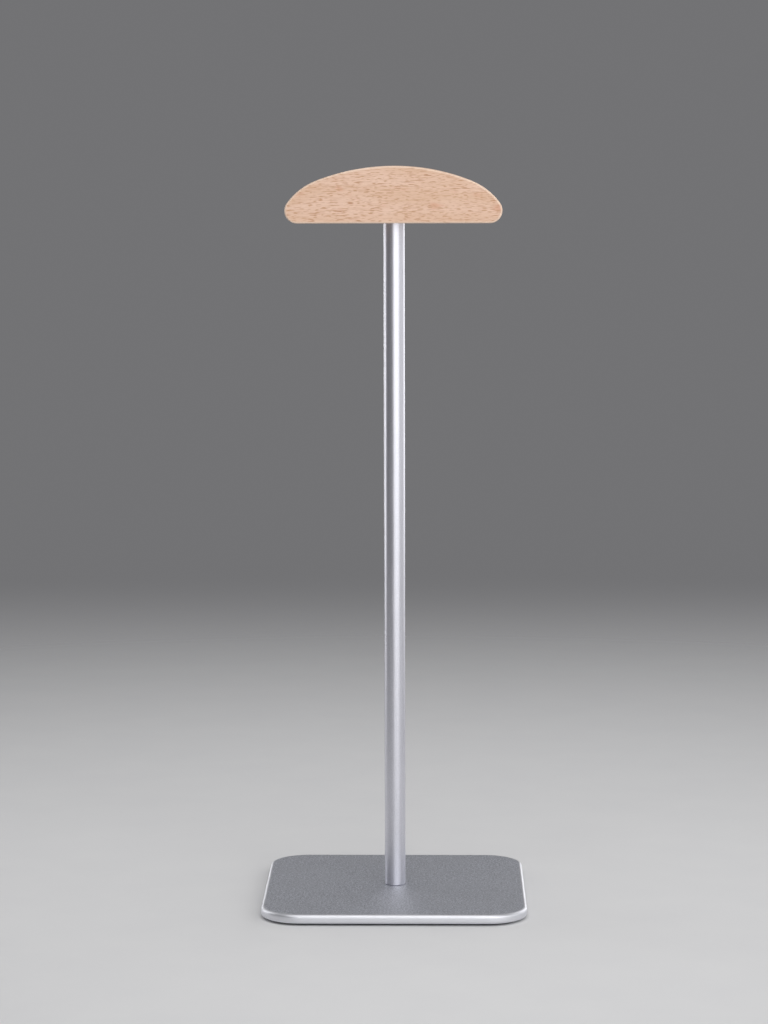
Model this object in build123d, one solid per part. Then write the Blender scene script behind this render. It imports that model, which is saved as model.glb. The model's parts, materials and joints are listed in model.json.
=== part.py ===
from build123d import *
import math
import os

# Headphone stand: a square metal plate, a round pole and a wooden cradle for the headband.
# Millimetres. Z = 0 is the surface that the pad rests on, the pole stands on the Z axis,
# and the cradle's long side runs along X.

# Base plate
BASE_WIDTH = 100.0
BASE_DEPTH = 100.0
BASE_THICKNESS = 3.5
BASE_CORNER_RADIUS = 15.0
BASE_TOP_EDGE_RADIUS = 1.3
BASE_BOTTOM_EDGE_RADIUS = 0.9

# Pad, and the adhesive film that holds it to the plate
PAD_THICKNESS = 0.7
PAD_INSET = 2.5
PAD_EDGE_CHAMFER = 0.15
FILM_THICKNESS = 0.1
FILM_INSET = 0.5

# Pole
POLE_DIAMETER = 8.0
POLE_LENGTH = 255.0
POLE_END_CHAMFER = 0.3

# M5 threads, drawn as plain cylinders of the thread's outside diameter
THREAD_DIAMETER = 5.0
THREAD_CLEARANCE = 0.05
THREAD_MOUTH_CHAMFER = 0.4
THREAD_END_CHAMFER = 0.6
THREAD_RUNOUT = 2.5
DRILL_POINT_ANGLE = 118.0

# Countersunk screw, M5 x 16, which holds the pole to the plate
SCREW_LENGTH = 16.0
SCREW_HEAD_DIAMETER = 10.0
SCREW_HEAD_RIM = 0.3
SCREW_HEAD_CLEARANCE = 0.2
SCREW_SOCKET_WIDTH = 3.0
SCREW_SOCKET_DEPTH = 2.0
SCREW_RECESS = 0.2
SCREW_SHANK_CLEARANCE = 0.25
SCREW_KEY_CLEARANCE = 2.0

# Stud, M5 x 24, half in the pole and half in the cradle
STUD_IN_POLE = 12.0
STUD_IN_CRADLE = 12.0
STUD_SOCKET_WIDTH = 2.5
STUD_SOCKET_DEPTH = 3.0

# Brass insert, level with the cradle's underside, so that the pole bears on metal
INSERT_DIAMETER = 8.0
INSERT_LENGTH = 13.0
INSERT_GLUE_GAP = 0.05
POCKET_END_GAP = 1.0

# Cradle. The crown is one arc across the top, each shoulder another, and each lower corner a third.
# An end angle is measured from straight up, where an arc hands over to the next.
CRADLE_WIDTH = 81.0
CRADLE_HEIGHT = 21.2
CRADLE_DEPTH = 40.0
CROWN_END_ANGLE = 21.5
SHOULDER_END_ANGLE = 54.0
LOWER_CORNER_RADIUS = 4.7
CRADLE_EDGE_RADIUS = 0.6

# Levels above the surface that the stand rests on
FILM_Z = PAD_THICKNESS
PLATE_Z = FILM_Z + FILM_THICKNESS
POLE_Z = PLATE_Z + BASE_THICKNESS
CRADLE_Z = POLE_Z + POLE_LENGTH
SCREW_Z = PLATE_Z + SCREW_RECESS
STUD_Z = CRADLE_Z - STUD_IN_POLE

# Sizes that follow from the ones above
THREAD_RADIUS = THREAD_DIAMETER / 2
THREAD_HOLE_RADIUS = THREAD_RADIUS + THREAD_CLEARANCE
SCREW_HEAD_RADIUS = SCREW_HEAD_DIAMETER / 2
SCREW_CONE_Z = SCREW_Z + SCREW_HEAD_RIM
SCREW_CONE_HEIGHT = SCREW_HEAD_RADIUS - THREAD_RADIUS
SCREW_IN_POLE = SCREW_Z + SCREW_LENGTH - POLE_Z
KEY_HOLE_RADIUS = SCREW_HEAD_RADIUS + SCREW_HEAD_CLEARANCE + SCREW_KEY_CLEARANCE
STUD_LENGTH = STUD_IN_POLE + STUD_IN_CRADLE
POCKET_DEPTH = max(INSERT_LENGTH, STUD_IN_CRADLE) + POCKET_END_GAP

# The mouth of the pole's lower thread also clears a screw head that is thicker than the plate.
FOOT_MOUTH_CHAMFER = max(THREAD_MOUTH_CHAMFER, SCREW_CONE_Z + SCREW_CONE_HEIGHT - POLE_Z)


def cylinder(radius, bottom, height):
    """An upright cylinder on the Z axis."""
    shape = Cylinder(radius, height, align=(Align.CENTER, Align.CENTER, Align.MIN))
    return Pos(0, 0, bottom) * shape


def cone(bottom_radius, top_radius, bottom, height):
    """An upright cone, or the lower part of one, on the Z axis."""
    shape = Cone(bottom_radius, top_radius, height, align=(Align.CENTER, Align.CENTER, Align.MIN))
    return Pos(0, 0, bottom) * shape


def hexagon_socket(width, bottom, depth):
    """The space of a hexagon socket on the Z axis, width across its flats."""
    outline = RegularPolygon(width / 2, 6, major_radius=False)
    return extrude(Pos(0, 0, bottom) * outline, depth)


def slab(inset, bottom, thickness):
    """A slab with the plate's outline moved in by inset, so that the corners stay concentric."""
    outline = RectangleRounded(
        BASE_WIDTH - 2 * inset,
        BASE_DEPTH - 2 * inset,
        BASE_CORNER_RADIUS - inset,
    )
    return extrude(Pos(0, 0, bottom) * outline, thickness)


def base_plate():
    """The plate, with rounded edges and the countersunk hole of the screw."""
    plate = slab(0, PLATE_Z, BASE_THICKNESS)
    plate = fillet(plate.faces().sort_by(Axis.Z)[-1].edges(), BASE_TOP_EDGE_RADIUS)
    plate = fillet(plate.faces().sort_by(Axis.Z)[0].edges(), BASE_BOTTOM_EDGE_RADIUS)

    mouth = cylinder(SCREW_HEAD_RADIUS + SCREW_HEAD_CLEARANCE, PLATE_Z, SCREW_CONE_Z - PLATE_Z)
    seat = cone(SCREW_HEAD_RADIUS, THREAD_RADIUS, SCREW_CONE_Z, SCREW_CONE_HEIGHT)
    hole = cylinder(THREAD_RADIUS + SCREW_SHANK_CLEARANCE, PLATE_Z, BASE_THICKNESS)
    return plate - mouth - seat - hole


def pad_adhesive():
    """The film between plate and pad, set in a little from the pad's edges."""
    film = slab(PAD_INSET + FILM_INSET, FILM_Z, FILM_THICKNESS)
    return film - cylinder(KEY_HOLE_RADIUS + FILM_INSET, FILM_Z, FILM_THICKNESS)


def base_pad():
    """The pad, with a hole through which a key reaches the screw."""
    pad = slab(PAD_INSET, 0, PAD_THICKNESS)
    pad -= cylinder(KEY_HOLE_RADIUS, 0, PAD_THICKNESS)
    return chamfer(pad.faces().sort_by(Axis.Z)[0].edges(), PAD_EDGE_CHAMFER)


def base_screw():
    """The countersunk screw, head down, with its hexagon socket."""
    rim = cylinder(SCREW_HEAD_RADIUS, SCREW_Z, SCREW_HEAD_RIM)
    head = cone(SCREW_HEAD_RADIUS, THREAD_RADIUS, SCREW_CONE_Z, SCREW_CONE_HEIGHT)
    shank = cylinder(THREAD_RADIUS, SCREW_Z, SCREW_LENGTH)
    shank = chamfer(shank.edges().sort_by(Axis.Z)[-1], THREAD_END_CHAMFER)
    return rim + head + shank - hexagon_socket(SCREW_SOCKET_WIDTH, SCREW_Z, SCREW_SOCKET_DEPTH)


def tapped_hole(depth, mouth_chamfer):
    """The space of a tapped blind hole that goes up from Z = 0: its mouth, thread and drill point."""
    point_height = THREAD_HOLE_RADIUS / math.tan(math.radians(DRILL_POINT_ANGLE / 2))
    mouth = cone(THREAD_HOLE_RADIUS + mouth_chamfer, THREAD_HOLE_RADIUS, 0, mouth_chamfer)
    thread = cylinder(THREAD_HOLE_RADIUS, 0, depth)
    point = cone(THREAD_HOLE_RADIUS, 0, depth, point_height)
    return mouth + thread + point


def pole():
    """The round bar, tapped at its foot for the screw and at its head for the stud."""
    bar = cylinder(POLE_DIAMETER / 2, POLE_Z, POLE_LENGTH)
    bar = chamfer(bar.edges().filter_by(GeomType.CIRCLE), POLE_END_CHAMFER)
    foot = tapped_hole(SCREW_IN_POLE + THREAD_RUNOUT, FOOT_MOUTH_CHAMFER)
    head = tapped_hole(STUD_IN_POLE + THREAD_RUNOUT, THREAD_MOUTH_CHAMFER)
    return bar - Pos(0, 0, POLE_Z) * foot - Pos(0, 0, CRADLE_Z) * Rot(180, 0, 0) * head


def cradle_stud():
    """The stud that joins the cradle to the pole, with a hexagon socket in its upper end."""
    stud = cylinder(THREAD_RADIUS, STUD_Z, STUD_LENGTH)
    stud = chamfer(stud.edges().filter_by(GeomType.CIRCLE), THREAD_END_CHAMFER)
    socket_z = STUD_Z + STUD_LENGTH - STUD_SOCKET_DEPTH
    return stud - hexagon_socket(STUD_SOCKET_WIDTH, socket_z, STUD_SOCKET_DEPTH)


def cradle_insert():
    """The threaded sleeve, with a chamfered mouth at each end of its thread."""
    sleeve = cylinder(INSERT_DIAMETER / 2, CRADLE_Z, INSERT_LENGTH)
    thread = cylinder(THREAD_HOLE_RADIUS, CRADLE_Z, INSERT_LENGTH)
    mouth_radius = THREAD_HOLE_RADIUS + THREAD_MOUTH_CHAMFER
    lower_mouth = cone(mouth_radius, THREAD_HOLE_RADIUS, CRADLE_Z, THREAD_MOUTH_CHAMFER)
    upper_mouth_z = CRADLE_Z + INSERT_LENGTH - THREAD_MOUTH_CHAMFER
    upper_mouth = cone(THREAD_HOLE_RADIUS, mouth_radius, upper_mouth_z, THREAD_MOUTH_CHAMFER)
    return sleeve - thread - lower_mouth - upper_mouth


def crown_and_shoulder_radii():
    """The two radii with which the arcs meet without a corner and fill the cradle's width and height.

    Along the width, the crown's share plus the shoulder's share reaches the lower corner's centre,
    and so it does down the height. Those are two linear equations, solved by Cramer's rule.
    """
    crown_end = math.radians(CROWN_END_ANGLE)
    shoulder_end = math.radians(SHOULDER_END_ANGLE)
    crown_across = math.sin(crown_end)
    shoulder_across = math.sin(shoulder_end) - math.sin(crown_end)
    crown_down = 1 - math.cos(crown_end)
    shoulder_down = math.cos(crown_end) - math.cos(shoulder_end)
    across = CRADLE_WIDTH / 2 - LOWER_CORNER_RADIUS * (1 - math.sin(shoulder_end))
    down = CRADLE_HEIGHT - LOWER_CORNER_RADIUS * (1 + math.cos(shoulder_end))

    determinant = crown_across * shoulder_down - shoulder_across * crown_down
    crown = (across * shoulder_down - shoulder_across * down) / determinant
    shoulder = (crown_across * down - across * crown_down) / determinant
    return crown, shoulder


def cradle_outline():
    """The cradle's outline seen from the front, with its underside on the X axis."""
    crown_radius, shoulder_radius = crown_and_shoulder_radii()
    crown_centre = Vector(0, CRADLE_HEIGHT - crown_radius)
    towards_shoulder = Vector(0, 1).rotate(Axis.Z, -CROWN_END_ANGLE)
    shoulder_centre = crown_centre + towards_shoulder * (crown_radius - shoulder_radius)
    corner_centre = Vector(CRADLE_WIDTH / 2 - LOWER_CORNER_RADIUS, LOWER_CORNER_RADIUS)

    crown = CenterArc(crown_centre, crown_radius, 90 - CROWN_END_ANGLE, 2 * CROWN_END_ANGLE)
    shoulder_sweep = SHOULDER_END_ANGLE - CROWN_END_ANGLE
    shoulder = CenterArc(shoulder_centre, shoulder_radius, 90 - SHOULDER_END_ANGLE, shoulder_sweep)
    corner = CenterArc(corner_centre, LOWER_CORNER_RADIUS, -90, 180 - SHOULDER_END_ANGLE)
    underside = Line((-corner_centre.X, 0), (corner_centre.X, 0))
    right_side = Curve() + [shoulder, corner]
    return make_face(Curve() + [crown, right_side, mirror(right_side, Plane.YZ), underside])


def cradle():
    """The wooden cradle, with the pocket for the insert in its underside."""
    block = extrude(Plane.XZ * cradle_outline(), CRADLE_DEPTH / 2, both=True)
    block = Pos(0, 0, CRADLE_Z) * block
    rims = block.faces().filter_by(Axis.Y).edges()
    block = fillet(rims, CRADLE_EDGE_RADIUS)
    pocket = cylinder(INSERT_DIAMETER / 2 + INSERT_GLUE_GAP, CRADLE_Z, POCKET_DEPTH)
    return block - pocket


PIECES = {
    "base_plate": base_plate,
    "pad_adhesive": pad_adhesive,
    "base_pad": base_pad,
    "base_screw": base_screw,
    "pole": pole,
    "cradle_stud": cradle_stud,
    "cradle_insert": cradle_insert,
    "cradle": cradle,
}

os.makedirs("parts", exist_ok=True)
for name, make in PIECES.items():
    export_step(make(), f"parts/{name}.step")
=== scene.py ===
"""The looks of a headphone stand: a square metal plate, a round pole and an arched beech cradle.

Metres, in the frame of the CAD model: the stand rests on Z = 0 and its front faces -Y.
"""

import json
import math

import bmesh
import bpy
import numpy as np
from mathutils import Matrix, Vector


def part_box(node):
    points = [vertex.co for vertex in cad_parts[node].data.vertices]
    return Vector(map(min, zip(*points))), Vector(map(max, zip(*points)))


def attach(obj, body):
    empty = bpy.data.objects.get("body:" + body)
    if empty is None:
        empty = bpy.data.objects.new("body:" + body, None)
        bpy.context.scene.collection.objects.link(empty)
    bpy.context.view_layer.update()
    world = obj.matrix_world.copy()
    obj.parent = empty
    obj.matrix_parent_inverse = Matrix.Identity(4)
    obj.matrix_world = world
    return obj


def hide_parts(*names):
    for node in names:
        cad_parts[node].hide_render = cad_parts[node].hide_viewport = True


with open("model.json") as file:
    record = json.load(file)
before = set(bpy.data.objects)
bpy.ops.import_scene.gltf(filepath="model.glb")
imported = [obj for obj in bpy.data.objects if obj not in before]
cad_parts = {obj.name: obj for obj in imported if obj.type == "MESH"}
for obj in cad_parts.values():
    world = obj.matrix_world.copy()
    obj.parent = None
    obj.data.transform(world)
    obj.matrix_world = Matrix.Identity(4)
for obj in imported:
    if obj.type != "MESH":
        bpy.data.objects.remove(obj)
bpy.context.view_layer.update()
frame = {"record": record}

MM = 0.001
TURN = 2 * math.pi

plate_low, plate_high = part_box("base_plate")
film_low, film_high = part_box("pad_adhesive")
pad_low, pad_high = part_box("base_pad")
screw_low, screw_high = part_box("base_screw")
pole_low, pole_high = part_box("pole")
stud_low, stud_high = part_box("cradle_stud")
insert_low, insert_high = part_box("cradle_insert")
cradle_low, cradle_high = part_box("cradle")

# Plate, film and pad
CORNER_RADIUS = 15 * MM
TOP_EDGE_RADIUS = 1.3 * MM
BOTTOM_EDGE_RADIUS = 0.9 * MM
PAD_CHAMFER = 0.15 * MM
KEY_HOLE_RADIUS = 7.2 * MM
FILM_HOLE_RADIUS = 7.7 * MM

# Width of the strip beside an edge that keeps the flat face's shading flat
SUPPORT = 0.06 * MM

# M5 thread: pitch, depth, and the flats at crest and root as shares of the pitch
PITCH = 0.8 * MM
THREAD_DEPTH = 0.49 * MM
CREST_FLAT = 1 / 8
ROOT_FLAT = 1 / 4
THREAD_CLEARANCE = 0.05 * MM
THREAD_MOUTH_CHAMFER = 0.4 * MM
THREAD_END_CHAMFER = 0.6 * MM
THREAD_RUNOUT = 2.5 * MM
DRILL_POINT_ANGLE = 118

# Countersunk screw and its seat in the plate
SCREW_RIM = 0.3 * MM
SCREW_SEAT_CLEARANCE = 0.2 * MM
SHANK_CLEARANCE = 0.25 * MM
SCREW_SOCKET_WIDTH = 3 * MM
SCREW_SOCKET_DEPTH = 2 * MM

# Hexagon sockets: how much wider the mouth is, how deep that lead-in goes, and the point below the floor
SOCKET_LEAD_WIDTH = 0.3 * MM
SOCKET_LEAD_DEPTH = 0.15 * MM
SOCKET_POINT = 0.5 * MM

# Stud and insert
STUD_SOCKET_WIDTH = 2.5 * MM
STUD_SOCKET_DEPTH = 3 * MM
KNURL_DEPTH = 0.22 * MM
KNURL_WIDTH = 0.84 * MM
KNURL_COLLAR = 0.8 * MM
INSERT_GROOVE = 1.6 * MM

# Pole and cradle
POLE_CHAMFER = 0.3 * MM
CROWN_END_ANGLE = 21.5
SHOULDER_END_ANGLE = 54
LOWER_CORNER_RADIUS = 4.7 * MM
CRADLE_EDGE_RADIUS = 0.6 * MM
CAP_MIDDLE_DROP = 1 * MM
GLUE_GAP = 0.05 * MM
POCKET_END_GAP = 1 * MM

# Slant of the beech's growth rings, as in a board sawn neither flat nor on the quarter
RING_ANGLE = math.radians(45)

# Steps of the slabs
CORNER_STEPS = 24
SIDE_STEPS = 16
ROUND_STEPS = 8
FACE_STEPS = 12

# Steps of the turned pieces
TURNED_STEPS = 96
THREAD_STEPS = 72
ROWS_PER_PITCH = 16
POLE_ROWS = 60
COLUMNS_PER_TOOTH = 4
ROWS_PER_TOOTH = 8

# Steps of the cradle: round its outline, through its depth, over its caps and rims, and in its pocket
CROWN_STEPS = 30
SHOULDER_STEPS = 20
LOWER_CORNER_STEPS = 28
UNDERSIDE_STEPS = 24
DEPTH_STEPS = 26
CAP_STEPS = 14
RIM_STEPS = 6
PATCH_STEPS = 6
WALL_STEPS = 8
POCKET_END_STEPS = 3

# Points nearer than this are merged, and edges sharper than this are shaded as edges
MERGE_DISTANCE = 0.5e-6
SHARP_ANGLE = 35

# Sizes that follow from the frame
plate_half_width = plate_high.x
plate_half_depth = plate_high.y
pole_radius = pole_high.x
thread_radius = stud_high.x
thread_hole_radius = thread_radius + THREAD_CLEARANCE
screw_head_radius = screw_high.x
screw_cone_z = screw_low.z + SCREW_RIM
screw_neck_z = screw_cone_z + screw_head_radius - thread_radius
insert_radius = insert_high.x


# Surfaces. A grid is an array of rows, columns and X, Y, Z, and every row goes once round.


def arc(centre, radius, start, end, steps=ROUND_STEPS):
    """Points on an arc: centre plus radius times the cosine and sine of angles evenly from start to end."""
    angle = np.radians(np.linspace(start, end, steps + 1))
    return np.column_stack([centre[0] + radius * np.cos(angle), centre[1] + radius * np.sin(angle)])


def rings(radius, height, steps):
    """Rows of circles on the Z axis: radius times the cosine and sine of the column's angle, at height.

    Radius and height hold one number for a row, or one for each of its columns.
    """
    angle = column_angles(steps)
    radius = np.broadcast_to(np.asarray(radius, float).reshape(len(radius), -1), (len(radius), steps))
    height = np.broadcast_to(np.asarray(height, float).reshape(len(height), -1), radius.shape)
    return np.stack([radius * np.cos(angle), radius * np.sin(angle), height], axis=-1)


def column_angles(steps):
    """The angle of each column of a grid that goes evenly round the Z axis."""
    return np.arange(steps) * TURN / steps


def thread(low, high):
    """Radii and heights of a right-hand screw thread between two levels.

    The phase, height over pitch less angle over a turn, runs from 0 to 1 across one thread. The radius
    stays at the crest over the crest's flat, falls evenly down the flank and stays at the root.
    """
    rows = int(round((high - low) / PITCH * ROWS_PER_PITCH)) + 1
    height = np.linspace(low, high, rows)[:, None] * np.ones(THREAD_STEPS)
    phase = (height / PITCH - column_angles(THREAD_STEPS) / TURN) % 1
    from_crest = np.abs(2 * phase - 1)
    fall = np.clip((from_crest - CREST_FLAT) / (1 - CREST_FLAT - ROOT_FLAT), 0, 1)
    return thread_radius - fall * THREAD_DEPTH, height


def end_chamfer(radius, height, end):
    """The radii, held inside a 45 degree cone that narrows towards the end's level."""
    cone = thread_radius - THREAD_END_CHAMFER + np.abs(height - end)
    return np.minimum(radius, cone)


def hexagon(width):
    """The radius of a hexagon at each column: half its width over the cosine of the angle from its flat."""
    sixth = TURN / 6
    from_flat = (column_angles(THREAD_STEPS) + sixth / 2) % sixth - sixth / 2
    return width / 2 / np.cos(from_flat)


def socket(width, mouth, floor):
    """Radii and heights of a hexagon socket, from the rim of its mouth to the point of its floor."""
    point = floor + math.copysign(SOCKET_POINT, floor - mouth)
    lead = math.copysign(SOCKET_LEAD_DEPTH, floor - mouth)
    wide = hexagon(width + SOCKET_LEAD_WIDTH)
    narrow = hexagon(width)
    radius = np.stack([wide, narrow, narrow, np.zeros(THREAD_STEPS)])
    return radius, np.array([mouth, mouth + lead, floor, point])


def tapped_hole(mouth, depth, inward):
    """Radius and height of a blind tapped hole, from the rim of its mouth to its drill point.

    Inward is 1 where the hole goes up and -1 where it goes down.
    """
    point = thread_hole_radius / math.tan(math.radians(DRILL_POINT_ANGLE / 2))
    levels = np.array([0, THREAD_MOUTH_CHAMFER, depth, depth + point])
    radii = [thread_hole_radius + THREAD_MOUTH_CHAMFER, thread_hole_radius, thread_hole_radius, 0]
    return np.column_stack([radii, mouth + inward * levels])


def slab_columns():
    """The slab's outline as a core point and an outward direction for each column.

    Round a corner the core point stands still at the corner's centre while the direction makes a quarter
    turn. Along a side the core point moves to the next corner and the direction stands still.
    """
    corner = np.linspace(0, TURN / 4, CORNER_STEPS + 1)
    side = np.linspace(1, -1, SIDE_STEPS + 1)[1:-1]
    core = np.vstack([np.ones((len(corner), 2)), np.column_stack([side, np.ones_like(side)])])
    angle = np.concatenate([corner, np.full(len(side), TURN / 4)])
    quarter = np.arange(4)[:, None] * TURN / 4
    cos, sin = np.round(np.cos(quarter)), np.round(np.sin(quarter))
    core_x = (core[:, 0] * cos - core[:, 1] * sin).ravel() * (plate_half_width - CORNER_RADIUS)
    core_y = (core[:, 0] * sin + core[:, 1] * cos).ravel() * (plate_half_depth - CORNER_RADIUS)
    angle = (angle + quarter).ravel()
    return np.column_stack([core_x, core_y]), np.column_stack([np.cos(angle), np.sin(angle)])


def slab(rim, bore):
    """Grid of a slab with a round hole, a closed loop of rings, and how much edge wear and painted edge
    highlight its rows get.

    A ring of the rim is core point plus corner radius less inset times direction, at its height. A ring of
    the bore is a circle with its columns in line with the outline's, seen from the axis. Across each face
    the rings blend evenly from the one to the other. Rim is inset and height, from the top face round to
    the bottom face, and bore is radius and height, from the bottom face up to the top face.
    """
    core, outward = slab_columns()
    outline = core + (CORNER_RADIUS - rim[:, 0, None, None]) * outward
    directions = outline[0] / np.linalg.norm(outline[0], axis=1, keepdims=True)
    circle = bore[:, 0, None, None] * directions
    share = np.linspace(0, 1, FACE_STEPS + 1)[1:-1, None, None]
    bottom = (1 - share) * outline[-1] + share * circle[0]
    top = (1 - share) * circle[-1] + share * outline[0]
    flat = np.concatenate([outline, bottom, circle, top])
    bottom_level = np.full(len(share), rim[-1, 1])
    top_level = np.full(len(share), bore[-1, 1])
    level = np.concatenate([rim[:, 1], bottom_level, bore[:, 1], top_level])
    height = np.broadcast_to(level[:, None, None], flat.shape[:2] + (1,))
    # Rows of the rounded edges, which get edge wear and a painted edge highlight
    edge_wear_and_highlight = np.zeros(len(flat))
    edge_wear_and_highlight[1:len(rim) - 1] = 1
    return np.concatenate([flat, height], axis=-1), edge_wear_and_highlight


# Pieces. Each gives grids: points, how much edge wear and painted edge highlight its rows get, whether
# the last row joins the first, and the hole in it if it has one.


def base_plate():
    """The plate: a slab with a quarter round above and below, and the screw's countersunk hole."""
    top_round = arc((TOP_EDGE_RADIUS, plate_high.z - TOP_EDGE_RADIUS), TOP_EDGE_RADIUS, 90, 180)
    bottom_round = arc((BOTTOM_EDGE_RADIUS, plate_low.z + BOTTOM_EDGE_RADIUS), BOTTOM_EDGE_RADIUS, 180, 270)
    top_flat = [TOP_EDGE_RADIUS + SUPPORT, plate_high.z]
    bottom_flat = [BOTTOM_EDGE_RADIUS + SUPPORT, plate_low.z]
    rim = np.vstack([top_flat, top_round, bottom_round, bottom_flat])
    bore = np.array([
        [screw_head_radius + SCREW_SEAT_CLEARANCE, plate_low.z],
        [screw_head_radius + SCREW_SEAT_CLEARANCE, screw_cone_z],
        [screw_head_radius, screw_cone_z],
        [thread_radius + SHANK_CLEARANCE, screw_neck_z - SHANK_CLEARANCE],
        [thread_radius + SHANK_CLEARANCE, plate_high.z],
    ])
    points, edge_wear_and_highlight = slab(rim, bore)
    return [(points, edge_wear_and_highlight, True)]


def pad_adhesive():
    """The film: a thin slab set in from the pad's edges."""
    inset = plate_half_width - film_high.x
    rim = np.array([[inset, film_high.z], [inset, film_low.z]])
    bore = np.array([[FILM_HOLE_RADIUS, film_low.z], [FILM_HOLE_RADIUS, film_high.z]])
    points, edge_wear_and_highlight = slab(rim, bore)
    return [(points, edge_wear_and_highlight, True)]


def base_pad():
    """The pad: a slab with its lower edges broken, and the hole for the key."""
    inset = plate_half_width - pad_high.x
    rim = np.array([
        [inset, pad_high.z],
        [inset, pad_low.z + PAD_CHAMFER],
        [inset + PAD_CHAMFER, pad_low.z],
    ])
    bore = np.array([
        [KEY_HOLE_RADIUS + PAD_CHAMFER, pad_low.z],
        [KEY_HOLE_RADIUS, pad_low.z + PAD_CHAMFER],
        [KEY_HOLE_RADIUS, pad_high.z],
    ])
    points, edge_wear_and_highlight = slab(rim, bore)
    return [(points, edge_wear_and_highlight, True)]


def base_screw():
    """The countersunk screw: socket, head, cone, thread and broken end, in one run from axis to axis."""
    socket_radius, socket_z = socket(SCREW_SOCKET_WIDTH, screw_low.z, screw_low.z + SCREW_SOCKET_DEPTH)
    head_radius = np.array([screw_head_radius - SUPPORT, screw_head_radius, screw_head_radius, thread_radius])
    head_z = np.array([screw_low.z, screw_low.z + SUPPORT, screw_cone_z, screw_neck_z])
    turns, turns_z = thread(screw_neck_z + SUPPORT, screw_high.z)
    turns = end_chamfer(turns, turns_z, screw_high.z)
    rows = [
        rings(socket_radius[::-1], socket_z[::-1], THREAD_STEPS),
        rings(head_radius, head_z, THREAD_STEPS),
        rings(turns, turns_z, THREAD_STEPS),
        rings(np.zeros(1), [screw_high.z], THREAD_STEPS),
    ]
    points = np.concatenate(rows)
    return [(points, np.zeros(len(points)), False)]


def pole():
    """The pole: tapped foot, end face, chamfer, long side, and the same at the head, from axis to axis."""
    foot_depth = screw_high.z - pole_low.z + THREAD_RUNOUT
    head_depth = pole_high.z - stud_low.z + THREAD_RUNOUT
    foot = tapped_hole(pole_low.z, foot_depth, 1)
    head = tapped_hole(pole_high.z, head_depth, -1)
    side_z = np.linspace(pole_low.z + POLE_CHAMFER, pole_high.z - POLE_CHAMFER, POLE_ROWS)
    side = np.column_stack([np.full(len(side_z), pole_radius), side_z])
    foot_face = [[pole_radius - POLE_CHAMFER, pole_low.z]]
    head_face = [[pole_radius - POLE_CHAMFER, pole_high.z]]
    profile = np.vstack([foot[::-1], foot_face, side, head_face, head])
    points = rings(profile[:, 0], profile[:, 1], TURNED_STEPS)
    return [(points, np.zeros(len(points)), False)]


def cradle_stud():
    """The stud: threaded from end to end, both ends broken, with a socket in the upper one."""
    turns, turns_z = thread(stud_low.z, stud_high.z)
    turns = end_chamfer(turns, turns_z, stud_low.z)
    turns = end_chamfer(turns, turns_z, stud_high.z)
    socket_radius, socket_z = socket(STUD_SOCKET_WIDTH, stud_high.z, stud_high.z - STUD_SOCKET_DEPTH)
    rows = [
        rings(np.zeros(1), [stud_low.z], THREAD_STEPS),
        rings(turns, turns_z, THREAD_STEPS),
        rings(socket_radius, socket_z, THREAD_STEPS),
    ]
    points = np.concatenate(rows)
    return [(points, np.zeros(len(points)), False)]


def cradle_insert():
    """The insert: a sleeve with two bands of diamond knurl between plain collars.

    On a band the depth is the deeper of two sets of grooves that wind round in opposite directions. Each is
    a triangle wave of the angle's share of a turn times the number of teeth, plus or less height over width.
    """
    teeth = int(round(TURN * insert_radius / KNURL_WIDTH))
    steps = COLUMNS_PER_TOOTH * teeth
    low = insert_low.z
    high = insert_high.z
    middle = (low + high) / 2
    height = np.linspace(low, high, int(round((high - low) / KNURL_WIDTH * ROWS_PER_TOOTH)) + 1)[:, None]
    around = column_angles(steps) / TURN * teeth
    grooves = [2 * np.abs((around + sign * height / KNURL_WIDTH) % 1 - 0.5) for sign in (-1, 1)]
    plain = (height < low + KNURL_COLLAR) | (height > high - KNURL_COLLAR)
    waist = np.abs(height - middle) < INSERT_GROOVE / 2
    depth = KNURL_DEPTH * np.where(plain, 0, np.where(waist, 1, np.maximum(*grooves)))
    mouth = thread_hole_radius + THREAD_MOUTH_CHAMFER
    bore = np.array([
        [mouth, high],
        [thread_hole_radius, high - THREAD_MOUTH_CHAMFER],
        [thread_hole_radius, low + THREAD_MOUTH_CHAMFER],
        [mouth, low],
    ])
    rows = [
        rings(insert_radius - depth, height, steps),
        rings(bore[:, 0], bore[:, 1], steps),
    ]
    points = np.concatenate(rows)
    return [(points, np.zeros(len(points)), True)]


def crown_and_shoulder_radii():
    """The two radii with which the arcs meet without a corner and fill the cradle's width and height.

    Across the width, crown radius times the sine of its end angle plus shoulder radius times the rest of the
    sine reaches the lower corner's centre, and so it goes with cosines down the height.
    """
    crown_end, shoulder_end = np.radians([CROWN_END_ANGLE, SHOULDER_END_ANGLE])
    shares = np.array([
        [math.sin(crown_end), math.sin(shoulder_end) - math.sin(crown_end)],
        [1 - math.cos(crown_end), math.cos(crown_end) - math.cos(shoulder_end)],
    ])
    width, height = cradle_high.x, cradle_high.z - cradle_low.z
    reach = [
        width - LOWER_CORNER_RADIUS * (1 - math.sin(shoulder_end)),
        height - LOWER_CORNER_RADIUS * (1 + math.cos(shoulder_end)),
    ]
    return np.linalg.solve(shares, reach)


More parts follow.
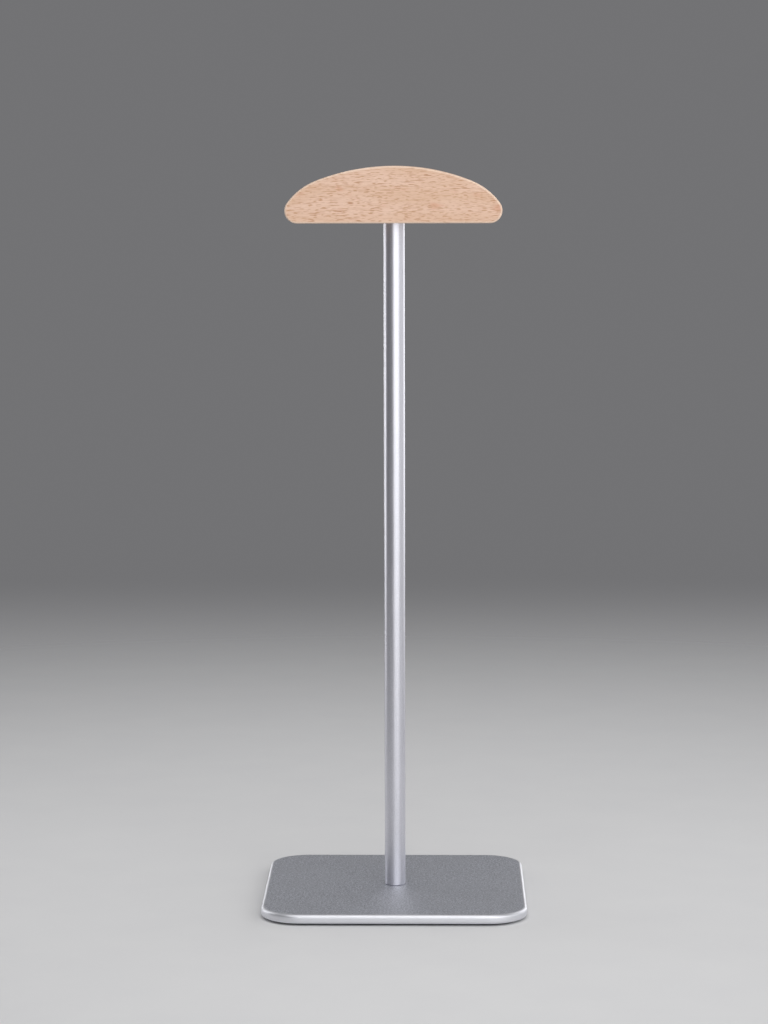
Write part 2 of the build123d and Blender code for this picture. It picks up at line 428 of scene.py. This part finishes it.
def cradle_columns():
    """The cradle's outline as an arc centre, a radius and an outward direction for each column.

    Leans are angles from straight up. The right half goes from the middle of the crown over the shoulder
    and round the lower corner, and the underside is the corner's arc carried along to the middle. The left
    half is its mirror image.
    """
    crown, shoulder = crown_and_shoulder_radii()
    crown_centre = np.array([0, cradle_high.z - crown])
    end = math.radians(CROWN_END_ANGLE)
    shoulder_centre = crown_centre + (crown - shoulder) * np.array([math.sin(end), math.cos(end)])
    corner_centre = np.array([cradle_high.x - LOWER_CORNER_RADIUS, cradle_low.z + LOWER_CORNER_RADIUS])

    crown_lean = np.linspace(0, CROWN_END_ANGLE, CROWN_STEPS + 1)
    shoulder_lean = np.linspace(CROWN_END_ANGLE, SHOULDER_END_ANGLE, SHOULDER_STEPS + 1)[1:]
    corner_lean = np.linspace(SHOULDER_END_ANGLE, 180, LOWER_CORNER_STEPS + 1)[1:]
    under_x = np.linspace(corner_centre[0], 0, UNDERSIDE_STEPS + 1)[1:]
    lean = np.radians(np.concatenate([crown_lean, shoulder_lean, corner_lean, np.full(len(under_x), 180)]))
    radius = np.concatenate([
        np.full(len(crown_lean), crown),
        np.full(len(shoulder_lean), shoulder),
        np.full(len(corner_lean) + len(under_x), LOWER_CORNER_RADIUS),
    ])
    centre = np.concatenate([
        np.tile(crown_centre, (len(crown_lean), 1)),
        np.tile(shoulder_centre, (len(shoulder_lean), 1)),
        np.tile(corner_centre, (len(corner_lean), 1)),
        np.column_stack([under_x, np.full(len(under_x), corner_centre[1])]),
    ])
    outward = np.column_stack([np.sin(lean), np.cos(lean)])
    mirrored = slice(-2, 0, -1)
    flip = np.array([-1, 1])
    return (
        np.concatenate([centre, centre[mirrored] * flip]),
        np.concatenate([radius, radius[mirrored]]),
        np.concatenate([outward, outward[mirrored] * flip]),
    )


def cradle_shell():
    """The cradle's outline carried from front to back and closed by flat caps, and which of its rows get the
    painted edge highlight.

    A row is centre plus radius less inset times outward, at its depth. The caps blend evenly into a middle
    point, a little below half the height.
    """
    centre, radius, outward = cradle_columns()
    front, back = cradle_low.y, cradle_high.y
    rim_front = arc((CRADLE_EDGE_RADIUS, front + CRADLE_EDGE_RADIUS), CRADLE_EDGE_RADIUS, 270, 180, RIM_STEPS)
    rim_back = rim_front[::-1] * [1, -1] + [0, front + back]
    straight_y = np.linspace(rim_front[-1, 1], rim_back[0, 1], DEPTH_STEPS + 1)[1:-1]
    straight = np.column_stack([np.zeros(len(straight_y)), straight_y])
    support = CRADLE_EDGE_RADIUS + SUPPORT
    section = np.vstack([[support, front], rim_front, straight, rim_back, [support, back]])
    outline = centre + (radius[:, None] - section[:, 0, None, None]) * outward
    middle = np.array([0, (cradle_low.z + cradle_high.z) / 2 - CAP_MIDDLE_DROP])
    share = np.linspace(0, 1, CAP_STEPS + 1)[:-1, None, None]
    front_cap = (1 - share) * middle + share * outline[0]
    back_cap = (share * outline[-1] + (1 - share) * middle)[::-1]
    flat = np.concatenate([front_cap, outline, back_cap])
    depth = np.concatenate([np.full(len(share), front), section[:, 1], np.full(len(share), back)])
    points = np.stack([flat[..., 0], np.broadcast_to(depth[:, None], flat.shape[:2]), flat[..., 1]], axis=-1)
    rim = slice(CAP_STEPS + 1, CAP_STEPS + 2 + RIM_STEPS)
    # Rows of the rounded rims, which get the painted edge highlight
    edge_wear_and_highlight = np.zeros(len(points))
    edge_wear_and_highlight[rim] = 1
    edge_wear_and_highlight[::-1][rim] = 1
    return points, edge_wear_and_highlight


def cradle_pocket(block):
    """Rows of the pocket in the cradle's underside, which fill a block of the shell's grid.

    They blend evenly from the block's border into the pocket's circle, go up its wall and close at its end.
    """
    border = np.concatenate([block[0, :-1], block[:-1, -1], block[-1, :0:-1], block[:0:-1, 0]])
    directions = border[:, :2] / np.linalg.norm(border[:, :2], axis=1, keepdims=True)
    pocket_radius = insert_radius + GLUE_GAP
    pocket_end = insert_high.z + POCKET_END_GAP
    share = np.linspace(0, 1, PATCH_STEPS + 1)[:, None, None]
    underside = (1 - share) * border[:, :2] + share * pocket_radius * directions
    wall_z = np.linspace(cradle_low.z, pocket_end, WALL_STEPS + 1)[1:]
    wall = np.tile(pocket_radius * directions, (len(wall_z), 1, 1))
    end = np.linspace(1, 0, POCKET_END_STEPS + 1)[1:, None, None] * pocket_radius * directions
    flat = np.concatenate([underside, wall, end])
    level = np.concatenate([np.full(len(underside), cradle_low.z), wall_z, np.full(len(end), pocket_end)])
    height = np.broadcast_to(level[:, None, None], flat.shape[:2] + (1,))
    return np.concatenate([flat, height], axis=-1)


def cradle():
    """The cradle: its shell less a block in the middle of the underside, and the pocket that fills it."""
    points, edge_wear_and_highlight = cradle_shell()
    middle_row = len(points) // 2
    middle_column = CROWN_STEPS + SHOULDER_STEPS + LOWER_CORNER_STEPS + UNDERSIDE_STEPS
    rows = slice(middle_row - PATCH_STEPS, middle_row + PATCH_STEPS + 1)
    columns = slice(middle_column - PATCH_STEPS, middle_column + PATCH_STEPS + 1)
    pocket = cradle_pocket(points[rows, columns])
    hole = (rows.start, rows.stop - 1, columns.start, columns.stop - 1)
    return [(points, edge_wear_and_highlight, False, hole), (pocket, np.zeros(len(pocket)), False)]


# Making the pieces


def grid_faces(rows, columns, close_rows, first, hole=None):
    """Four corners for each cell between neighbouring rows and columns. The last column joins the first.

    First is the number of the grid's first point. Hole is a block of cells that is left out: the rows and
    then the columns at which it starts and stops.
    """
    row = np.arange(rows if close_rows else rows - 1)[:, None]
    column = np.arange(columns)[None, :]
    next_row = (row + 1) % rows
    next_column = (column + 1) % columns
    corners = [row * columns + column, row * columns + next_column,
               next_row * columns + next_column, next_row * columns + column]
    kept = np.ones((len(row), columns), bool)
    if hole:
        kept[hole[0]:hole[1], hole[2]:hole[3]] = False
    return first + np.stack(corners, axis=-1)[kept]


def make_piece(name, grids):
    """One mesh of the grids, with shared borders, seams and poles merged and faces turned outwards."""
    faces = []
    first = 0
    for points, _, closed, *hole in grids:
        faces.append(grid_faces(*points.shape[:2], closed, first, *hole))
        first += points.shape[0] * points.shape[1]
    places = np.concatenate([points.reshape(-1, 3) for points, *_ in grids])
    edge_wear_and_highlight = np.concatenate([np.repeat(rows, points.shape[1]) for points, rows, *_ in grids])
    mesh = bpy.data.meshes.new(name)
    mesh.from_pydata(places, [], np.concatenate(faces))
    # Weight of the rounded edge rows, for edge wear and the painted edge highlight
    mesh.attributes.new("edge_wear_and_highlight", "FLOAT", "POINT").data.foreach_set("value", edge_wear_and_highlight.astype(np.float32))

    working = bmesh.new()
    working.from_mesh(mesh)
    bmesh.ops.remove_doubles(working, verts=working.verts, dist=MERGE_DISTANCE)
    loose = [vertex for vertex in working.verts if not vertex.link_faces]
    bmesh.ops.delete(working, geom=loose, context="VERTS")
    bmesh.ops.recalc_face_normals(working, faces=working.faces)
    working.to_mesh(mesh)
    working.free()
    mesh.shade_smooth()
    mesh.set_sharp_from_angle(angle=math.radians(SHARP_ANGLE))
    piece = bpy.data.objects.new(name, mesh)
    bpy.context.scene.collection.objects.link(piece)
    return piece


# Materials


def colour(code):
    """The linear colour of an sRGB hex code such as #E2BEA0, with the standard's curve."""
    share = np.array([int(code[i:i + 2], 16) for i in (1, 3, 5)]) / 255
    linear = np.where(share <= 0.04045, share / 12.92, ((share + 0.055) / 1.055) ** 2.4)
    return (*linear.tolist(), 1)


def node(tree, kind, inputs, **settings):
    """Adds a node with its settings. Each input takes a value, or a link from another node's output."""
    made = tree.nodes.new(kind)
    for name, value in settings.items():
        setattr(made, name, value)
    for key, value in inputs.items():
        if isinstance(value, bpy.types.NodeSocket):
            tree.links.new(value, made.inputs[key])
        else:
            made.inputs[key].default_value = value
    return made


# Sockets of a Mix node that is set to colours
FACTOR = 0
A = 6
B = 7
MIXED = 2


def start_material(name):
    """A new material's tree, and its places in metres."""
    material = bpy.data.materials.new(name)
    material.use_nodes = True
    tree = material.node_tree
    tree.nodes.clear()
    place = node(tree, "ShaderNodeTexCoord", {}).outputs["Object"]
    return material, tree, place


def finish_material(tree, **inputs):
    """Adds the shader with these inputs, and the output."""
    sockets = {name.replace("_", " "): value for name, value in inputs.items()}
    shader = node(tree, "ShaderNodeBsdfPrincipled", sockets)
    node(tree, "ShaderNodeOutputMaterial", {"Surface": shader.outputs["BSDF"]})


def blasted_aluminium():
    """Aluminium plate, bead blasted and clear anodised.

    Blasting leaves overlapping dents of about 0.1 mm, drawn coarser so that they show. They give an even
    grey without direction and a fine sparkle. Handling polishes the rounded edges a little, and they are
    painted lighter, a painted highlight along them.
    """
    dent_size = 0.6 * MM
    cloud_size = 14 * MM
    material, tree, place = start_material("bead_blasted_anodised_aluminium")
    dents = node(tree, "ShaderNodeTexNoise", {
        "Vector": place, "Scale": 1 / dent_size, "Detail": 2, "Roughness": 0.6})
    clouds = node(tree, "ShaderNodeTexNoise", {"Vector": place, "Scale": 1 / cloud_size, "Detail": 3})
    sparkle = node(tree, "ShaderNodeMapRange", {
        "Value": dents.outputs["Fac"], "From Min": 0.36, "From Max": 0.64})
    edge_wear_and_highlight = node(tree, "ShaderNodeAttribute", {}, attribute_name="edge_wear_and_highlight")
    tone = node(tree, "ShaderNodeMix", {
        FACTOR: sparkle.outputs["Result"], A: colour("#A0A2AA"), B: colour("#E2E4EB")}, data_type="RGBA")
    cloudy = node(tree, "ShaderNodeMapRange", {
        "Value": clouds.outputs["Fac"], "From Min": 0.3, "From Max": 0.7, "To Max": 0.4})
    clouded = node(tree, "ShaderNodeMix", {
        FACTOR: cloudy.outputs["Result"], A: tone.outputs[MIXED], B: colour("#C4C6CC")}, data_type="RGBA")
    # Rounded edges painted lighter: a painted highlight
    polished_and_highlighted = node(tree, "ShaderNodeMix", {
        FACTOR: edge_wear_and_highlight.outputs["Fac"], A: clouded.outputs[MIXED], B: colour("#E4E5EA")}, data_type="RGBA")
    grit = node(tree, "ShaderNodeMapRange", {
        "Value": dents.outputs["Fac"], "From Min": 0.25, "From Max": 0.75, "To Min": 0.5, "To Max": 0.62})
    rough = node(tree, "ShaderNodeMath", {
        0: edge_wear_and_highlight.outputs["Fac"], 1: -0.1, 2: grit.outputs["Result"]}, operation="MULTIPLY_ADD")
    bump = node(tree, "ShaderNodeBump", {
        "Height": dents.outputs["Fac"], "Strength": 0.35, "Distance": 0.03 * MM})
    finish_material(tree, Base_Color=polished_and_highlighted.outputs[MIXED], Metallic=1.0,
                    Roughness=rough.outputs[0], Normal=bump.outputs["Normal"])
    return material


def drawn_aluminium():
    """Aluminium bar, drawn, fine brushed along its length and clear anodised.

    Drawing leaves lines along the bar, about 0.05 mm wide, modelled coarser so that they show. The anodised
    skin is satin, with a soft edge to every reflection.
    """
    line_width = 0.3 * MM
    line_length = 25 * MM
    skin_size = 0.4 * MM
    material, tree, place = start_material("drawn_anodised_aluminium")
    along = node(tree, "ShaderNodeMapping", {
        "Vector": place, "Scale": (1 / line_width, 1 / line_width, 1 / line_length)})
    lines = node(tree, "ShaderNodeTexNoise", {"Vector": along.outputs["Vector"], "Scale": 1.0, "Detail": 3})
    skin = node(tree, "ShaderNodeTexNoise", {"Vector": place, "Scale": 1 / skin_size, "Detail": 2})
    tone = node(tree, "ShaderNodeMix", {
        FACTOR: lines.outputs["Fac"], A: colour("#D2D2D9"), B: colour("#E6E6EE")}, data_type="RGBA")
    spots = node(tree, "ShaderNodeMapRange", {
        "Value": skin.outputs["Fac"], "From Min": 0.35, "From Max": 0.75, "To Max": 0.5})
    spotted = node(tree, "ShaderNodeMix", {
        FACTOR: spots.outputs["Result"], A: tone.outputs[MIXED], B: colour("#C4C4CC")}, data_type="RGBA")
    rough = node(tree, "ShaderNodeMapRange", {
        "Value": lines.outputs["Fac"], "From Min": 0.25, "From Max": 0.75, "To Min": 0.29, "To Max": 0.39})
    bump = node(tree, "ShaderNodeBump", {
        "Height": lines.outputs["Fac"], "Strength": 0.15, "Distance": 0.02 * MM})
    finish_material(tree, Base_Color=spotted.outputs[MIXED], Metallic=1.0,
                    Roughness=rough.outputs["Result"], Normal=bump.outputs["Normal"])
    return material


def oiled_beech():
    """Beech, sanded and matt oiled, with its grain along X and its growth rings slanting between Y and Z.

    Its rays are ribbons about 2 to 4 mm along the grain, 5 to 8 mm towards the bark and 0.2 mm thick. Cut at
    a slant, they are short dark dashes on the front and on the crown alike, and slanting lines on the ends.
    Fibre and pores are under 0.1 mm across, drawn coarser so that they show. The rounded edges are painted
    paler, a painted highlight along them.
    """
    material, tree, place = start_material("oiled_beech")
    layers = (
        # pattern, its millimetres along the grain, towards the bark and round the rings, noise detail and
        # roughness, noise at which its colour starts and is full, the colour's strength, and the colour
        ("tone", (55, 8, 7), 2, 0.5, 0.3, 0.7, 1, "#E0BA9D"),
        ("fibre", (9, 0.6, 0.4), 3, 0.6, 0.4, 0.75, 0.6, "#D7AE8F"),
        ("pores", (2.5, 0.4, 0.3), 1, 0.5, 0.6, 0.75, 0.3, "#C79E7D"),
        ("blush", (9, 12, 3.2), 1, 0.5, 0.62, 0.78, 0.5, "#D49574"),
        ("small rays", (2, 5, 0.18), 0, 0.5, 0.58, 0.74, 1, "#CB9E7C"),
        ("rays", (3.6, 8, 0.24), 0, 0.5, 0.65, 0.78, 1, "#C2916F"),
    )
    surface = colour("#EBC8B2")
    noises = {}
    for name, sides, detail, roughness, low, high, strength, code in layers:
        stretched = node(tree, "ShaderNodeMapping", {
            "Vector": place, "Rotation": (RING_ANGLE, 0, 0), "Scale": [side * MM for side in sides]},
            vector_type="TEXTURE")
        noises[name] = node(tree, "ShaderNodeTexNoise", {
            "Vector": stretched.outputs["Vector"], "Scale": 1.0, "Detail": detail, "Roughness": roughness})
        share = node(tree, "ShaderNodeMapRange", {
            "Value": noises[name].outputs["Fac"], "From Min": low, "From Max": high, "To Max": strength},
            interpolation_type="SMOOTHSTEP")
        surface = node(tree, "ShaderNodeMix", {
            FACTOR: share.outputs["Result"], A: surface, B: colour(code)}, data_type="RGBA").outputs[MIXED]
    edge_wear_and_highlight = node(tree, "ShaderNodeAttribute", {}, attribute_name="edge_wear_and_highlight")
    painted_edge_highlight = node(tree, "ShaderNodeMapRange", {
        "Value": edge_wear_and_highlight.outputs["Fac"], "To Max": 0.5}, interpolation_type="SMOOTHSTEP")
    # Rounded edges painted paler: a painted highlight
    surface = node(tree, "ShaderNodeMix", {
        FACTOR: painted_edge_highlight.outputs["Result"], A: surface, B: colour("#F6E0CC")}, data_type="RGBA").outputs[MIXED]
    fibre = noises["fibre"].outputs["Fac"]
    pores = noises["pores"].outputs["Fac"]
    rough = node(tree, "ShaderNodeMapRange", {
        "Value": fibre, "From Min": 0.3, "From Max": 0.7, "To Min": 0.42, "To Max": 0.56}).outputs["Result"]
    relief = node(tree, "ShaderNodeMath", {0: pores, 1: fibre}, operation="ADD").outputs[0]
    bump = node(tree, "ShaderNodeBump", {
        "Height": relief, "Strength": 0.25, "Distance": 0.04 * MM}, invert=True)
    finish_material(tree, Base_Color=surface, Roughness=rough, IOR=1.5, Normal=bump.outputs["Normal"])
    return material


def silicone_rubber():
    """Silicone rubber sheet, moulded matt: near black, with a fine even texture and a little dust."""
    texture_size = 0.3 * MM
    dust_size = 6 * MM
    material, tree, place = start_material("silicone_rubber")
    texture = node(tree, "ShaderNodeTexNoise", {"Vector": place, "Scale": 1 / texture_size, "Detail": 3})
    dust = node(tree, "ShaderNodeTexNoise", {"Vector": place, "Scale": 1 / dust_size, "Detail": 5})
    dusty = node(tree, "ShaderNodeMapRange", {
        "Value": dust.outputs["Fac"], "From Min": 0.5, "From Max": 0.8, "To Max": 0.5})
    surface = node(tree, "ShaderNodeMix", {
        FACTOR: dusty.outputs["Result"], A: colour("#1B1B1D"), B: colour("#2B2A2B")}, data_type="RGBA")
    rough = node(tree, "ShaderNodeMapRange", {
        "Value": texture.outputs["Fac"], "From Min": 0.25, "From Max": 0.75, "To Min": 0.5, "To Max": 0.68})
    bump = node(tree, "ShaderNodeBump", {
        "Height": texture.outputs["Fac"], "Strength": 0.5, "Distance": 0.04 * MM})
    finish_material(tree, Base_Color=surface.outputs[MIXED], Roughness=rough.outputs["Result"], IOR=1.41,
                    Normal=bump.outputs["Normal"])
    return material


def acrylic_film():
    """Double-sided acrylic film: milky, with the uneven coat of its adhesive."""
    coat_size = 1.5 * MM
    material, tree, place = start_material("acrylic_adhesive_film")
    coat = node(tree, "ShaderNodeTexNoise", {"Vector": place, "Scale": 1 / coat_size, "Detail": 4})
    surface = node(tree, "ShaderNodeMix", {
        FACTOR: coat.outputs["Fac"], A: colour("#CFCBC0"), B: colour("#E4E1D8")}, data_type="RGBA")
    rough = node(tree, "ShaderNodeMapRange", {
        "Value": coat.outputs["Fac"], "From Min": 0.3, "From Max": 0.7, "To Min": 0.3, "To Max": 0.5})
    bump = node(tree, "ShaderNodeBump", {
        "Height": coat.outputs["Fac"], "Strength": 0.3, "Distance": 0.02 * MM})
    finish_material(tree, Base_Color=surface.outputs[MIXED], Roughness=rough.outputs["Result"], IOR=1.47,
                    Normal=bump.outputs["Normal"])
    return material


def zinc_plated_steel():
    """Steel, rolled thread, zinc plated and passivated: bright, faintly blue, with yellowish clouds."""
    cloud_size = 2.5 * MM
    crystal_size = 0.15 * MM
    material, tree, place = start_material("zinc_plated_steel")
    clouds = node(tree, "ShaderNodeTexNoise", {"Vector": place, "Scale": 1 / cloud_size, "Detail": 3})
    crystals = node(tree, "ShaderNodeTexNoise", {"Vector": place, "Scale": 1 / crystal_size, "Detail": 2})
    tint = node(tree, "ShaderNodeMapRange", {
        "Value": clouds.outputs["Fac"], "From Min": 0.35, "From Max": 0.7})
    surface = node(tree, "ShaderNodeMix", {
        FACTOR: tint.outputs["Result"], A: colour("#B9C0C8"), B: colour("#CBC8BB")}, data_type="RGBA")
    rough = node(tree, "ShaderNodeMapRange", {
        "Value": crystals.outputs["Fac"], "From Min": 0.3, "From Max": 0.7, "To Min": 0.22, "To Max": 0.36})
    bump = node(tree, "ShaderNodeBump", {
        "Height": crystals.outputs["Fac"], "Strength": 0.2, "Distance": 0.01 * MM})
    finish_material(tree, Base_Color=surface.outputs[MIXED], Metallic=1.0, Roughness=rough.outputs["Result"],
                    Normal=bump.outputs["Normal"])
    return material


def turned_brass():
    """Brass, turned and knurled: warm, with fine rings left by the tool and dull clouds."""
    ring_spacing = 0.12 * MM
    ring_length = 8 * MM
    cloud_size = 2 * MM
    material, tree, place = start_material("turned_brass")
    across = node(tree, "ShaderNodeMapping", {
        "Vector": place, "Scale": (1 / ring_length, 1 / ring_length, 1 / ring_spacing)})
    marks = node(tree, "ShaderNodeTexNoise", {"Vector": across.outputs["Vector"], "Scale": 1.0, "Detail": 2})
    clouds = node(tree, "ShaderNodeTexNoise", {"Vector": place, "Scale": 1 / cloud_size, "Detail": 3})
    surface = node(tree, "ShaderNodeMix", {
        FACTOR: clouds.outputs["Fac"], A: colour("#D8B66C"), B: colour("#B8914A")}, data_type="RGBA")
    rough = node(tree, "ShaderNodeMapRange", {
        "Value": marks.outputs["Fac"], "From Min": 0.3, "From Max": 0.7, "To Min": 0.22, "To Max": 0.38})
    bump = node(tree, "ShaderNodeBump", {
        "Height": marks.outputs["Fac"], "Strength": 0.2, "Distance": 0.01 * MM})
    finish_material(tree, Base_Color=surface.outputs[MIXED], Metallic=1.0, Roughness=rough.outputs["Result"],
                    Normal=bump.outputs["Normal"])
    return material


zinc = zinc_plated_steel()
PIECES = (
    # name, CAD node that it replaces, its grids, its material
    ("square_plate", "base_plate", base_plate(), blasted_aluminium()),
    ("adhesive_sheet", "pad_adhesive", pad_adhesive(), acrylic_film()),
    ("rubber_pad", "base_pad", base_pad(), silicone_rubber()),
    ("countersunk_screw", "base_screw", base_screw(), zinc),
    ("round_pole", "pole", pole(), drawn_aluminium()),
    ("threaded_stud", "cradle_stud", cradle_stud(), zinc),
    ("knurled_insert", "cradle_insert", cradle_insert(), turned_brass()),
    ("beech_cradle", "cradle", cradle(), oiled_beech()),
)
bodies = {part: body for body, parts in frame["record"]["behaviour"]["bodies"].items() for part in parts}
for name, cad_node, grids, material in PIECES:
    piece = make_piece(name, grids)
    piece.data.materials.append(material)
    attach(piece, bodies[cad_node])
    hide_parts(cad_node)


# Studio

FLOOR_RADIUS = 0.95
FADE_START_RADIUS = 0.12
FADE_END_RADIUS = 0.94
FLOOR_STEPS = 64
PAPER_CLOUD_SIZE = 30 * MM
STUDIO_GREY = (0.17, 0.17, 0.176, 1)

CAMERA_PLACE = (15.04 * MM, -1152.7 * MM, 282.4 * MM)
CAMERA_YAW = -0.948
CAMERA_PITCH = 6.594
CAMERA_ROLL = -0.127
LENS_MM = 106.83
SENSOR_WIDTH_MM = 36

LIGHTS = (
    # name, azimuth, distance, middle's height, width, height, radiance, level that it aims at
    ("key", 25, 1.0, 0.45, 1.2, 1.0, 1.4, 0.45),
    ("key_edge", 22, 1.02, 0.45, 1.8, 1.0, 0.25, 0.45),
    ("left_rim", -119, 1.0, 0.5, 0.5, 1.1, 1.6, 0.5),
    ("right_rim", 132, 1.0, 0.5, 0.6, 1.1, 1.3, 0.5),
    ("left_edge", -157, 1.0, 0.17, 0.2, 0.3, 2.5, 0.17),
    ("right_edge", 157, 1.0, 0.17, 0.2, 0.3, 2.5, 0.17),
    ("right_fill", 86, 1.1, 0.45, 0.9, 1.0, 0.75, 0.45),
    ("front_top", 0, 0.45, 0.75, 0.8, 0.4, 1.8, 0.1),
    ("back_top", 180, 0.9, 0.8, 1.2, 0.5, 0.18, 0),
    ("top", 0, 0.01, 1.3, 0.8, 0.8, 0.8, 0),
)


def floor():
    """A plain pale floor of smooth matt paper, a disc that fades into the studio's grey towards its rim."""
    material, tree, place = start_material("pale_seamless_paper")
    clouds = node(tree, "ShaderNodeTexNoise", {"Vector": place, "Scale": 1 / PAPER_CLOUD_SIZE, "Detail": 4})
    surface = node(tree, "ShaderNodeMix", {
        FACTOR: clouds.outputs["Fac"], A: colour("#E3E3E4"), B: colour("#E8E8E8")}, data_type="RGBA")
    paper = node(tree, "ShaderNodeBsdfDiffuse", {"Color": surface.outputs[MIXED]})
    clear = node(tree, "ShaderNodeBsdfTransparent", {})
    distance = node(tree, "ShaderNodeVectorMath", {0: place}, operation="LENGTH")
    fade = node(tree, "ShaderNodeMapRange", {
        "Value": distance.outputs["Value"], "From Min": FADE_START_RADIUS, "From Max": FADE_END_RADIUS},
        interpolation_type="SMOOTHSTEP")
    shown = node(tree, "ShaderNodeMixShader", {
        0: fade.outputs["Result"], 1: paper.outputs["BSDF"], 2: clear.outputs["BSDF"]})
    node(tree, "ShaderNodeOutputMaterial", {"Surface": shown.outputs["Shader"]})
    disc = rings(np.array([0, FLOOR_RADIUS]), [0, 0], FLOOR_STEPS)
    piece = make_piece("floor", [(disc, np.zeros(2), False)])
    piece.data.materials.append(material)


def softbox(name, azimuth, distance, middle, width, height, radiance, aim):
    """A soft light that faces the pole at the level of its aim.

    Azimuth goes from the front towards +X, in degrees. Its power is radiance times pi times its area.
    """
    angle = math.radians(azimuth)
    data = bpy.data.lights.new(name, "AREA")
    data.shape = "RECTANGLE"
    data.size = width
    data.size_y = height
    data.energy = radiance * math.pi * width * height
    light = bpy.data.objects.new(name, data)
    light.location = (math.sin(angle) * distance, -math.cos(angle) * distance, middle)
    tilt = math.atan2(middle - aim, distance)
    light.rotation_euler = (math.pi / 2 - tilt, 0, angle)
    light.visible_camera = False
    bpy.context.scene.collection.objects.link(light)


def camera():
    """The camera, from its place and its turns in degrees: yaw to the right, pitch down, roll to the left."""
    yaw, pitch, roll = np.radians([CAMERA_YAW, CAMERA_PITCH, CAMERA_ROLL])
    forward = np.array([math.sin(yaw) * math.cos(pitch), math.cos(yaw) * math.cos(pitch), -math.sin(pitch)])
    level = np.array([math.cos(yaw), -math.sin(yaw), 0])
    upright = np.cross(level, forward)
    right = math.cos(roll) * level + math.sin(roll) * upright
    up = math.cos(roll) * upright - math.sin(roll) * level
    data = bpy.data.cameras.new("camera")
    data.lens = LENS_MM
    data.sensor_width = SENSOR_WIDTH_MM
    made = bpy.data.objects.new("camera", data)
    turned = Matrix(np.column_stack([right, up, -forward]).tolist()).to_4x4()
    made.matrix_world = Matrix.Translation(CAMERA_PLACE) @ turned
    bpy.context.scene.collection.objects.link(made)
    bpy.context.scene.camera = made


floor()
camera()
for light in LIGHTS:
    softbox(*light)

world = bpy.data.worlds.new("studio")
world.use_nodes = True
world.node_tree.nodes["Background"].inputs["Color"].default_value = STUDIO_GREY
bpy.context.scene.world = world

# Colours come out as the materials give them, with no film curve
bpy.context.scene.view_settings.view_transform = "Standard"
